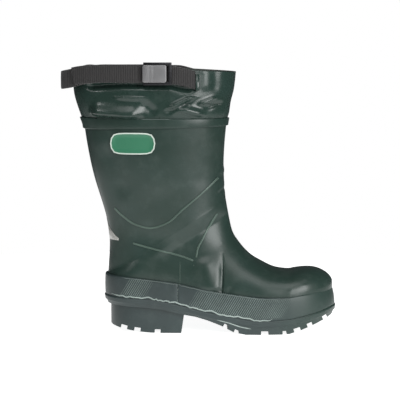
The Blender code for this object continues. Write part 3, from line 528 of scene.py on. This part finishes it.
collar = {
    "wall": 1.8 * mm, "levels": 3, "underStrap": (320, 352), "strapEnd": 42,
    "rimDip": (78 * mm, 122 * mm, 8 * mm), "innerSag": 2.8 * mm,
    "folds": [
        # drawn in sharply under the strap, full below it
        {"line": [(-116, 333), (-60, 336), (0, 335), (36, 326)], "depth": -6.5, "width": 4.6, "side": outer,
         "facing": -0.6, "rise": 0.1, "fall": 0.12},
        {"line": [(-110, 300), (-92, 298), (-66, 296), (-34, 295)], "depth": 8.0, "width": 10, "side": outer,
         "facing": -0.4, "sharp": 0.4, "rise": 0.2, "fall": 0.25},
        {"line": [(-80, 320), (-50, 318), (-26, 320)], "depth": 2.2, "width": 4.0, "side": outer},
        {"line": [(-38, 312), (-28, 304), (-20, 295)], "depth": -3.2, "width": 6, "side": outer},
        # ridge from the strap's front end down to the cuff
        {"line": [(38, 326), (24, 317), (10, 311), (-6, 302)], "depth": 4.2, "width": 3.0, "side": outer,
         "rise": 0.12},
        {"line": [(30, 315), (12, 305), (-8, 297)], "depth": -3.0, "width": 3.0, "side": outer},
        {"line": [(-4, 302), (16, 303), (34, 298), (52, 294)], "depth": 4.8, "width": 5.2, "side": outer},
        {"line": [(36, 307), (50, 314), (64, 320)], "depth": 3.2, "width": 2.6, "side": outer},
        {"line": [(44, 302), (58, 307), (72, 311)], "depth": -2.4, "width": 3.0, "side": outer},
        # front: upright waves under the rim
        {"line": [(46, 358), (48, 338), (48, 324)], "depth": 0.7, "width": 7.0, "side": outer, "rise": 0.02},
        {"line": [(60, 356), (60, 336), (58, 322)], "depth": -1.2, "width": 6.0, "side": outer, "rise": 0.02},
        # inner side, gathered the same way
        {"line": [(-110, 331), (-60, 333), (0, 331), (34, 322)], "depth": -3.4, "width": 5.5, "side": inner,
         "facing": -0.6},
        {"line": [(-100, 304), (-60, 299), (-24, 302)], "depth": 4.4, "width": 6.4, "side": inner,
         "facing": -0.4},
        {"line": [(-20, 316), (-8, 306), (4, 294)], "depth": -2.6, "width": 5, "side": inner},
        {"line": [(36, 334), (28, 320), (8, 308)], "depth": 3.0, "width": 4, "side": inner},
        {"line": [(14, 300), (40, 302), (66, 306)], "depth": 3.2, "width": 6, "side": inner},
        {"line": [(-74, 318), (-70, 308), (-64, 296)], "depth": -2.2, "width": 5, "side": inner},
    ],
    "seam": [(38, 310.5), (56, 309), (72, 307)], "seamRound": 0.45 * mm,
}


def innerSag(x, y):
    # the rim and the strap sit a little lower on the inner side
    near = smoothStep(x, -118 * mm, -96 * mm) * smoothStep(-x, -18 * mm, 10 * mm)
    return collar["innerSag"] * near * smoothStep(y, -15 * mm, 20 * mm)


def strapCeiling(x, z):
    # under the strap a ridge may rise 0.2 mm at most
    low, high = collar["underStrap"]
    inBand = smoothStep(z, low - 3, low) * smoothStep(-z, -high - 3, -high) * smoothStep(-x, -collar["strapEnd"] - 4,
                                                                                       -collar["strapEnd"])
    return 0.2 + 20 * (1 - inBand)


def makeCollar():
    piece = newObject("softCollar", outerSkin(solidCopy("collar")), collarRubber, knit)
    smoothed(piece, collar["levels"])
    applied(piece)
    mould(piece, collar["folds"], strapCeiling)
    for vertex in piece.data.vertices:
        # the rim sinks towards the back, under the strap
        back = smoothStep(-vertex.co.x, *collar["rimDip"][:2])
        upwards = smoothStep(vertex.co.z, 325 * mm, 358 * mm)
        vertex.co.z -= upwards * (collar["rimDip"][2] * back + innerSag(vertex.co.x, vertex.co.y))
    skin = meshTree(piece)
    finishPiece(bead("collarSeam", routeOn(skin, collar["seam"], outer, 0), collar["seamRound"], collarRubber),
                "boot_rubber")
    addModifier(piece, "wall", "SOLIDIFY", thickness=collar["wall"], offset=-1, use_rim=True,
                material_offset=1, material_offset_rim=0)
    return finishPiece(piece, "boot_rubber", "collar")


# Cuff band with its overlap

cuff = {"lap": (-98 * mm, -41 * mm), "lapHeight": 3.4 * mm, "lapInset": 0.35 * mm, "round": 0.7 * mm,
        # crisp upper edges, laid as pale beads that paint their highlight lines: from, to and height over the band's
        # top, in millimetres
        "edges": [(-39, 52, -0.7), (-96, -43, 2.6)], "edgeRound": 0.35 * mm}


def makeCuff():
    bm = solidCopy("cuff_band")
    for x in cuff["lap"]:
        bmesh.ops.bisect_plane(bm, geom=bm.verts[:] + bm.edges[:] + bm.faces[:], dist=0.001 * mm,
                               plane_co=(x, 0, 0), plane_no=(1, 0, 0))
    # the band's end laps over on the outer side as a thin strip that stands above the rest
    top = [f for f in bm.faces if f.normal.z > 0.7 and f.calc_center_median().y < 0
           and cuff["lap"][0] < f.calc_center_median().x < cuff["lap"][1]]
    bmesh.ops.inset_region(bm, faces=top, thickness=cuff["lapInset"], depth=0, use_even_offset=True)
    raised = bmesh.ops.extrude_face_region(bm, geom=top)
    bmesh.ops.translate(bm, verts=[g for g in raised["geom"] if isinstance(g, bmesh.types.BMVert)],
                        vec=(0, 0, cuff["lapHeight"]))
    bmesh.ops.delete(bm, geom=[f for f in top if f.is_valid], context="FACES")
    edges = [e for e in bm.edges if e.is_manifold and e.calc_face_angle(0) > math.radians(40)]
    bmesh.ops.bevel(bm, geom=edges, offset=cuff["round"] / 2, segments=2, profile=0.5, affect="EDGES", material=-1,
                    clamp_overlap=True)
    tree = BVHTree.FromBMesh(bm)
    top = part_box("cuff_band")[1].z / mm
    for i, (start, end, rise) in enumerate(cuff["edges"]):
        line = [(start, top + rise), (end, top + rise)]
        finishPiece(bead("cuffEdge" + str(i), routeOn(tree, line, outer, 0), cuff["edgeRound"], paintedHighlightRubber),
                    "boot_rubber")
    piece = newObject("cuffBand", bm, bootRubber)
    return finishPiece(piece, "boot_rubber", "cuff_band")


# Raised seams on the upper

seams = {
    "foot": 0.35 * mm, "proud": 1.15 * mm, "round": 1.0 * mm,
    # faint moulded lines beside the seams, and the small stud that ends one, in the seams' paler rubber that paints
    # their highlight
    "lines": [[(12.5, 98), (12.5, 66)], [(31.2, 93.6), (31.2, 91.4)]], "lineRound": 0.4 * mm, "studRound": 1.1 * mm,
}


def makeSeam(node, skin):
    bm = solidCopy(node)
    layOn(bm, skin, seams["proud"], seams["foot"])
    edges = [e for e in bm.edges if e.is_manifold and e.calc_face_angle(0) > math.radians(50)]
    bmesh.ops.bevel(bm, geom=edges, offset=seams["round"], segments=3, profile=0.5, affect="EDGES", material=-1,
                    clamp_overlap=True)
    # the bead's paler rubber paints the highlight along its crest
    return finishPiece(newObject(node + "Bead", bm, seamPaintedHighlightRubber), "boot_rubber", node)


def makeSeamLines(skin):
    for i, line in enumerate(seams["lines"]):
        radius = (seams["lineRound"], seams["studRound"])[i]
        for side, where in ((outer, "Outer"), (inner, "Inner")):
            places = routeOn(skin, line, side, 0)
            finishPiece(bead(("mouldedLine", "seamStud")[i] + where, places, radius, seamPaintedHighlightRubber), "boot_rubber")


# Sole: foxing with its ribs, flash line and outsole

foxing = {
    "round": 0.5 * mm, "levels": 1, "pitch": 2.7 * mm, "height": 0.8 * mm, "lean": 0.6, "half": 0.27,
    "from": -69 * mm, "to": 170 * mm, "faint": (-22 * mm, 24 * mm), "faintHeight": 0.2, "fade": 30 * mm,
    "low": 2.2 * mm, "high": 0.8 * mm, "steps": 6, "sink": 0.32 * mm,
    "joint": 9.5 * mm, "jointWidth": 0.6 * mm, "jointDepth": 1.6 * mm,
    "tuckFrom": 164 * mm, "tuckAbove": 40 * mm, "tuck": 0.3 * mm, "tuckReach": 1.3 * mm,
    "flash": (-80 * mm, 138 * mm), "flashWaves": ((1.2 * mm, 43 * mm), (0.8 * mm, 17 * mm)), "flashRound": 1.0 * mm,
    "topEdge": (-66 * mm, 150 * mm), "topRound": 0.4 * mm,
}


def makeFoxing(skin):
    bm = solidCopy("foxing")
    width = foxing["jointWidth"]
    for shift in (-1.5, -0.5, 0.5, 1.5):
        bmesh.ops.bisect_plane(bm, geom=bm.verts[:] + bm.edges[:] + bm.faces[:], dist=0.001 * mm,
                               plane_co=(foxing["joint"] + shift * width, 0, 0), plane_no=(1, 0, 0))
    for vertex in bm.verts:
        place, normal, index, gap = skin.find_nearest(vertex.co)
        if abs(vertex.co.x - foxing["joint"]) < 0.7 * width and gap > 2 * mm:
            # the slit where the band's two ends meet
            vertex.co.y -= math.copysign(foxing["jointDepth"], vertex.co.y)
        if vertex.co.x > foxing["tuckFrom"] and vertex.co.z > foxing["tuckAbove"] and gap < foxing["tuckReach"]:
            # at the toe the band's thin edge melts into the cap
            vertex.co = place - normal * foxing["tuck"]
    edges = [e for e in bm.edges if e.is_manifold and e.calc_face_angle(0) > math.radians(40)]
    bmesh.ops.bevel(bm, geom=edges, offset=foxing["round"], segments=2, profile=0.5, affect="EDGES", material=-1)
    piece = newObject("foxingBand", bm, soleRubber)
    smoothed(piece, foxing["levels"])
    applied(piece)
    return finishPiece(piece, "sole_rubber", "foxing"), meshTree(piece)


def bandEdges(tree, x, side):
    # lowest and highest place where the foxing's outer face is met at this length
    hits = []
    z = 0.0
    while z < 90 * mm:
        place, normal, index, gap = tree.ray_cast(Vector((x, side * 0.2, z)), Vector((0, -side, 0)))
        if place and abs(normal.z) < 0.5:
            hits.append(z)
        z += 0.5 * mm
    return (hits[0], hits[-1]) if hits else None


def makeRibs(tree):
    # slanting ribs moulded on the foxing; each is a small strip with a crest along its middle, in pale rubber that
    # paints the highlight on its crest
    bm = bmesh.new()
    for side in (outer, inner):
        x = foxing["from"]
        while x < foxing["to"]:
            edges = bandEdges(tree, x, side)
            x += foxing["pitch"]
            if not edges:
                continue
            low, high = edges[0] + foxing["low"], edges[1] - foxing["high"]
            faint = smoothStep(x, foxing["faint"][0] - 20 * mm, foxing["faint"][0])
            faint *= smoothStep(-x, -foxing["faint"][1] - 20 * mm, -foxing["faint"][1])
            crest = foxing["height"] * (1 - (1 - foxing["faintHeight"]) * faint)
            shown = smoothStep(-x, -foxing["to"], foxing["fade"] - foxing["to"])
            shown *= smoothStep(x, foxing["from"], foxing["from"] + 0.5 * foxing["fade"])
            sunk = foxing["sink"] * max(1 - shown, 0.8 * faint)
            strip = bmesh.ops.create_grid(bm, x_segments=2, y_segments=foxing["steps"], size=1)
            for vertex in strip["verts"]:
                across, up = vertex.co.x, (vertex.co.y + 1) / 2
                z = low + (high - low) * up
                px = x + foxing["lean"] * (z - (low + high) / 2) + across * foxing["pitch"] * foxing["half"]
                place, normal, index, gap = tree.ray_cast(Vector((px, side * 0.2, z)), Vector((0, -side, 0)))
                if place is None:
                    place, normal, index, gap = tree.find_nearest(Vector((px, side * 0.06, z)))
                lift = crest * shown * (1 - abs(across)) - 0.15 * mm * abs(across) - sunk
                vertex.co = place + normal * lift
    bmesh.ops.recalc_face_normals(bm, faces=bm.faces)
    for face in bm.faces:
        if face.normal.y * face.calc_center_median().y < 0:
            face.normal_flip()
    keepInside(bm)
    return finishPiece(newObject("foxingRibs", bm, paintedHighlightRubber), "sole_rubber")


def makeFlash(tree):
    # thin squeezed-out rubber along the band's lower edge, in waves, and its crisp upper edge; both beads are pale
    # rubber that paints their highlight lines
    for side, where in ((outer, "Outer"), (inner, "Inner")):
        for name, (start, end), radius in (("flashBead", foxing["flash"], foxing["flashRound"]),
                                           ("upperEdge", foxing["topEdge"], foxing["topRound"])):
            places = []
            x = start
            while x < end:
                edges = bandEdges(tree, x, side)
                wave = sum(size * math.sin(2 * math.pi * x / period) for size, period in foxing["flashWaves"])
                z = edges[0] + 0.8 * mm + wave if name == "flashBead" else edges[1] - 0.3 * mm
                place, normal, index, gap = tree.ray_cast(Vector((x, side * 0.2, z)), Vector((0, -side, 0)))
                if place is None or normal.z < -0.5:
                    place = tree.find_nearest(Vector((x, side * 0.07, z)))[0]
                places.append(place)
                x += 2 * mm
            rubberTone = flashPaintedHighlightRubber if name == "flashBead" else paintedHighlightRubber
            finishPiece(bead(name + where, places, radius, rubberTone), "sole_rubber")


outsole = {
    "round": 1.2 * mm, "lugRound": 2.4 * mm,
    # second thin line of squeezed rubber on the lip, at the waist, in pale rubber that paints its highlight line
    "line": [(62, 20.4), (77, 16.6), (93, 11.1), (108, 8.2)], "lineRound": 0.8 * mm,
}


def makeOutsole():
    bm = solidCopy("outsole")
    bmesh.ops.dissolve_limit(bm, angle_limit=math.radians(1), verts=bm.verts, edges=bm.edges)
    # lugs are worn round where their tread meets the grooves
    tread = []
    for edge in bm.edges:
        if edge.is_manifold and edge.is_convex:
            down = [f for f in edge.link_faces if f.normal.z < -0.7]
            wall = [f for f in edge.link_faces if abs(f.normal.x) > 0.6]
            if len(down) == 1 and len(wall) == 1 and edge.calc_length() > 6 * mm:
                tread.append(edge)
    bmesh.ops.bevel(bm, geom=tread, offset=outsole["lugRound"], segments=3, profile=0.5, affect="EDGES",
                    material=-1, clamp_overlap=True)
    tree = BVHTree.FromBMesh(bm)
    piece = newObject("outsoleBlock", bm, soleRubber)
    piece.data.set_sharp_from_angle(angle=math.radians(38))
    addModifier(piece, "edges", "BEVEL", width=outsole["round"], segments=3, limit_method="ANGLE",
                angle_limit=math.radians(38), use_clamp_overlap=True)
    for side, where in ((outer, "Outer"), (inner, "Inner")):
        finishPiece(bead("lipFlash" + where, routeOn(tree, outsole["line"], side, 0), outsole["lineRound"],
                         flashPaintedHighlightRubber), "sole_rubber")
    return finishPiece(piece, "sole_rubber", "outsole")


# Strap: ribbed webbing

def stripStations(node):
    # rings of four corners along a strap, from one end to the other
    bm = bmesh.new()
    bm.from_mesh(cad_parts[node].data)
    bmesh.ops.remove_doubles(bm, verts=bm.verts, dist=0.02 * mm)
    far = Vector((0.06, -0.05, 0)) if node == "strap" else Vector((-0.04, -0.06, 0))
    start = min(bm.verts, key=lambda v: (v.co.xy - far.xy).length)
    ends = sorted(bm.verts, key=lambda v: (v.co.xy - start.co.xy).length)[:4]
    rings = [ends]
    seen = set(ends)
    while True:
        after = []
        for vertex in rings[-1]:
            for edge in vertex.link_edges:
                other = edge.other_vert(vertex)
                if other not in seen:
                    seen.add(other)
                    after.append(other)
        if not after:
            break
        rings.append(after)
    stations = []
    for ring in rings:
        low = min(v.co.z for v in ring)
        high = max(v.co.z for v in ring)
        plan = sum((v.co.xy for v in ring), Vector((0, 0))) / len(ring)
        stations.append((plan, low, high))
    thick = min((a.co.xy - b.co.xy).length for a in rings[0] for b in rings[0] if a.co.xy != b.co.xy)
    bm.free()
    return stations, thick


def makeStrap(name, node):
    stations, thick = stripStations(node)
    runs = [0.0]
    for a, b in zip(stations, stations[1:]):
        runs.append(runs[-1] + (b[0] - a[0]).length)

    def at(run):
        # plan place, edges and outward direction at a length along the strap, on a smooth curve
        run = min(max(run, 0.0), runs[-1])
        i = max(k for k in range(len(runs) - 1) if runs[k] <= run)
        t = (run - runs[i]) / (runs[i + 1] - runs[i])
        points = [stations[min(max(i + k, 0), len(stations) - 1)] for k in (-1, 0, 1, 2)]
        weights = (-0.5 * t + t * t - 0.5 * t ** 3, 1 - 2.5 * t * t + 1.5 * t ** 3,
                   0.5 * t + 2 * t * t - 1.5 * t ** 3, -0.5 * t * t + 0.5 * t ** 3)
        plan = sum((p[0] * w for p, w in zip(points, weights)), Vector((0, 0)))
        low = sum(p[1] * w for p, w in zip(points, weights))
        high = sum(p[2] * w for p, w in zip(points, weights))
        return plan, low, high

    columns = int(runs[-1] / strap["column"])
    around = 14
    bm = bmesh.new()
    grid = bmesh.ops.create_grid(bm, x_segments=columns, y_segments=around, size=1)
    weave = bm.loops.layers.uv.new("weave")
    half = thick / 2
    spots = {}
    for vertex in grid["verts"]:
        i = round((vertex.co.x + 1) / 2 * columns)
        j = round((vertex.co.y + 1) / 2 * around) % around
        run = runs[-1] * i / columns
        rise = math.sin(2 * math.pi * (j + 0.5) / around)
        if node == "strap_tail":
            # the free end is cut at a slant and stands a little higher than the layer under it
            near = smoothStep(run, runs[-1] - strap["endReach"], runs[-1])
            run -= strap["endSlant"] * near * (0.5 - 0.5 * rise)
        plan, low, high = at(run)
        if node == "strap_tail":
            low, high = low + strap["endLift"] * near, high + strap["endLift"] * near
        sag = innerSag(plan.x, plan.y)
        low, high = low - sag, high - sag
        ahead = at(run + 1 * mm)[0] - at(run - 1 * mm)[0]
        normal = Vector((-ahead.y, ahead.x)).normalized()
        # the loop goes up the outer face and down the inner one, round at both edges
        turn = 2 * math.pi * (j + 0.5) / around
        flat = math.copysign(abs(math.cos(turn)) ** 0.35, math.cos(turn))
        rise = math.copysign(abs(math.sin(turn)) ** 0.9, math.sin(turn))
        rib = 0.5 + 0.5 * math.cos(2 * math.pi * run / strap["rib"])
        out = half * flat
        if flat > 0:
            out -= strap["crest"] * (1 - rib) * abs(flat)
        else:
            out += strap["crest"] * (1 - rib) * abs(flat)
        z = (low + high) / 2 + (high - low) / 2 * rise
        spots[vertex] = (run, z)
        vertex.co = (plan.x + normal.x * out, plan.y + normal.y * out, z)
    for face in bm.faces:
        for loop in face.loops:
            loop[weave].uv = spots[loop.vert]
    bmesh.ops.remove_doubles(bm, verts=bm.verts, dist=0.001 * mm)
    bmesh.ops.holes_fill(bm, edges=[e for e in bm.edges if e.is_boundary])
    bmesh.ops.recalc_face_normals(bm, faces=bm.faces)
    return finishPiece(newObject(name, bm, webbing), "webbing", node)


keeper = {"top": 349 * mm, "round": 0.8 * mm}


def makeKeeper(node):
    # fold of the collar over the strap's end; its top stays under the rim
    bm = solidCopy(node)
    for vertex in bm.verts:
        vertex.co.z = min(vertex.co.z, keeper["top"])
    edges = [e for e in bm.edges if e.is_manifold and e.calc_face_angle(0) > math.radians(50)]
    bmesh.ops.bevel(bm, geom=edges, offset=keeper["round"], segments=3, profile=0.5, affect="EDGES", material=-1,
                    clamp_overlap=True)
    return finishPiece(newObject(node + "Fold", bm, collarRubber), "boot_rubber", node)


# Buckle

buckle = {
    "corner": 2.4 * mm, "plateRound": 0.6 * mm, "grooves": (0.30, 0.45), "grooveWidth": 0.9 * mm,
    "groove": 0.1 * mm, "lip": 0.93, "lipRound": 0.6 * mm,
}


def makeBuckle():
    low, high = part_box("buckle_lever")
    size = high - low
    bm = bmesh.new()
    bmesh.ops.create_grid(bm, x_segments=1, y_segments=1, size=0.5)
    for vertex in bm.verts:
        vertex.co = (low.x + size.x * (vertex.co.x + 0.5), low.y, low.z + size.z * (vertex.co.y + 0.5))
    bmesh.ops.bevel(bm, geom=bm.verts[:], offset=buckle["corner"], segments=5, profile=0.5, affect="VERTICES",
                    material=-1)
    rim = bmesh.ops.extrude_face_region(bm, geom=bm.faces[:])
    for vertex in [g for g in rim["geom"] if isinstance(g, bmesh.types.BMVert)]:
        vertex.co.y = high.y
    bmesh.ops.recalc_face_normals(bm, faces=bm.faces)
    edges = [e for e in bm.edges if e.calc_face_angle(0) > math.radians(60)]
    bmesh.ops.bevel(bm, geom=edges, offset=buckle["plateRound"], segments=3, profile=0.5, affect="EDGES",
                    material=-1)
    for share in buckle["grooves"]:
        # one shallow upright groove: its middle line is pushed in
        for shift in (-1, 0, 1):
            front = [f for f in bm.faces if f.normal.y < -0.9]
            cut = front + [e for f in front for e in f.edges] + [v for f in front for v in f.verts]
            x = low.x + size.x * share + shift * buckle["grooveWidth"]
            made = bmesh.ops.bisect_plane(bm, geom=list(set(cut)), dist=0.001 * mm, plane_co=(x, 0, 0),
                                          plane_no=(1, 0, 0))
            if shift == 0:
                middle = [g for g in made["geom_cut"] if isinstance(g, bmesh.types.BMVert)]
        for vertex in middle:
            vertex.co.y += buckle["groove"]
    plate = newObject("leverPlate", bm, leverSteel)
    plate.data.set_sharp_from_angle(angle=math.radians(45))
    finishPiece(plate, "lever_metal", "buckle_lever")
    # rolled lip near the plate's edge, in lighter steel that paints its highlight line
    x = low.x + size.x * buckle["lip"]
    lip = [Vector((x, low.y + 0.2 * mm, low.z + size.z * t)) for t in (0.12, 0.3, 0.5, 0.7, 0.88)]
    finishPiece(bead("leverLip", lip, buckle["lipRound"], lipHighlightSteel), "lever_metal")
    bm = solidCopy("buckle_frame")
    piece = newObject("buckleFrame", bm, frameSteel)
    piece.data.set_sharp_from_angle(angle=math.radians(50))
    addModifier(piece, "edges", "BEVEL", width=0.9 * mm, segments=3, limit_method="ANGLE",
                angle_limit=math.radians(50))
    return finishPiece(piece, "dark_metal", "buckle_frame")


# Patch and reflector

patch = {"border": 1.7 * mm, "inset": 0.25 * mm, "levels": 2}
reflector = {"proud": 0.35 * mm, "sunk": 0.3 * mm, "lift": 1.6 * mm, "stretch": 1.4}


def makePatch():
    bm = solidCopy("badge_patch")
    front = [f for f in bm.faces if f.normal.y < -0.5]
    bmesh.ops.inset_region(bm, faces=front, thickness=patch["border"], depth=0, use_even_offset=True,
                           use_boundary=True)
    inside = [f for f in front if f.is_valid]
    for face in inside:
        face.material_index = 1
    bmesh.ops.inset_region(bm, faces=inside, thickness=0.3 * mm, depth=-patch["inset"], use_even_offset=True,
                           use_boundary=True)
    piece = newObject("plainPatch", bm, paleVinyl, greenVinyl)
    piece.data.set_sharp_from_angle(angle=math.radians(40))
    return finishPiece(piece, "patch_vinyl", "badge_patch")


def makeReflector(skin):
    # film bonded to the skin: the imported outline, laid on the moulded surface
    bm = solidCopy("heel_reflector")
    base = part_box("heel_reflector")[0].z
    for vertex in bm.verts:
        vertex.co.z = base + reflector["lift"] + (vertex.co.z - base) * reflector["stretch"]
    layOn(bm, skin, reflector["proud"], reflector["sunk"])
    return finishPiece(newObject("heelFilm", bm, film), "reflective_film", "heel_reflector")


def dressNode(node, material):
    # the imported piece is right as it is: only its finish is new
    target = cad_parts[node]
    target.data.materials.clear()
    target.data.materials.append(material)


upperPiece, upperSkin = makeUpper()
makeCollar()
makeCuff()
for seamNode in ("seam_ankle_lateral", "seam_ankle_medial", "seam_instep_lateral", "seam_instep_medial",
                 "seam_heel_lateral", "seam_heel_medial"):
    makeSeam(seamNode, upperSkin)
makeSeamLines(upperSkin)
print("upper, collar, cuff and seams made")
foxingPiece, foxingTree = makeFoxing(upperSkin)
makeRibs(foxingTree)
makeFlash(foxingTree)
makeOutsole()
print("sole made")
makeStrap("strapBand", "strap")
makeStrap("strapTail", "strap_tail")
makeBuckle()
makePatch()
makeReflector(upperSkin)
dressNode("insole", felt)
makeKeeper("strap_keeper_lateral")
makeKeeper("strap_keeper_medial")
print("strap, buckle and trim made")


# Studio

studio = {
    "aim": (0.03946, 0.0, 0.17684), "distance": 2.4, "elevation": 6.0, "pixel": 1.36 * mm,
    "floor": "#f4f4f3", "floorGlow": 0.90, "floorRadius": 0.8, "surround": "#4c4d4f",
    # name: place, width and height of the soft box, power in watts
    "lamps": {
        "front": ((1.5, -1.95, 0.85), (0.9, 1.5), 52),
        "overhead": ((0.1, -1.1, 1.9), (1.6, 1.1), 19),
        "collarKicker": ((-1.7, -1.4, 1.5), (0.4, 0.4), 8),
    },
}


def makeStudio():
    scene = bpy.context.scene
    scene.view_settings.view_transform = "Standard"
    camera = bpy.data.cameras.new("camera")
    camera.lens = 36 / (400 * studio["pixel"] / studio["distance"])
    camera.clip_start, camera.clip_end = 0.1, 60
    holder = bpy.data.objects.new("camera", camera)
    scene.collection.objects.link(holder)
    tilt = math.radians(studio["elevation"])
    aim = Vector(studio["aim"])
    holder.location = aim + studio["distance"] * Vector((0, -math.cos(tilt), math.sin(tilt)))
    holder.rotation_euler = (math.pi / 2 - tilt, 0, 0)
    scene.camera = holder

    bm = bmesh.new()
    bmesh.ops.create_circle(bm, cap_ends=True, cap_tris=False, segments=64, radius=studio["floorRadius"])
    material, tree, shader = startMaterial("paintedFloor", studio["floor"], Roughness=0.8,
                                           **{"Emission Color": (1, 1, 1, 1),
                                              "Emission Strength": studio["floorGlow"]})
    floor = newObject("floor", bm, material)

    # white to the camera, a soft grey room for everything else
    world = bpy.data.worlds.new("studio")
    scene.world = world
    world.use_nodes = True
    tree = world.node_tree
    seen = addNode(tree, "ShaderNodeLightPath").outputs["Is Camera Ray"]
    room = mixColours(tree, seen, linear(studio["surround"]), (1, 1, 1, 1))
    tree.links.new(room, tree.nodes["Background"].inputs["Color"])

    for name, (place, size, power) in studio["lamps"].items():
        lamp = bpy.data.lights.new(name, "AREA")
        lamp.shape = "RECTANGLE"
        lamp.size, lamp.size_y = size
        lamp.energy = power
        stand = bpy.data.objects.new(name, lamp)
        scene.collection.objects.link(stand)
        stand.location = place
        stand.rotation_euler = (Vector(place) - aim).to_track_quat("Z", "Y").to_euler()


makeStudio()
print("studio made")
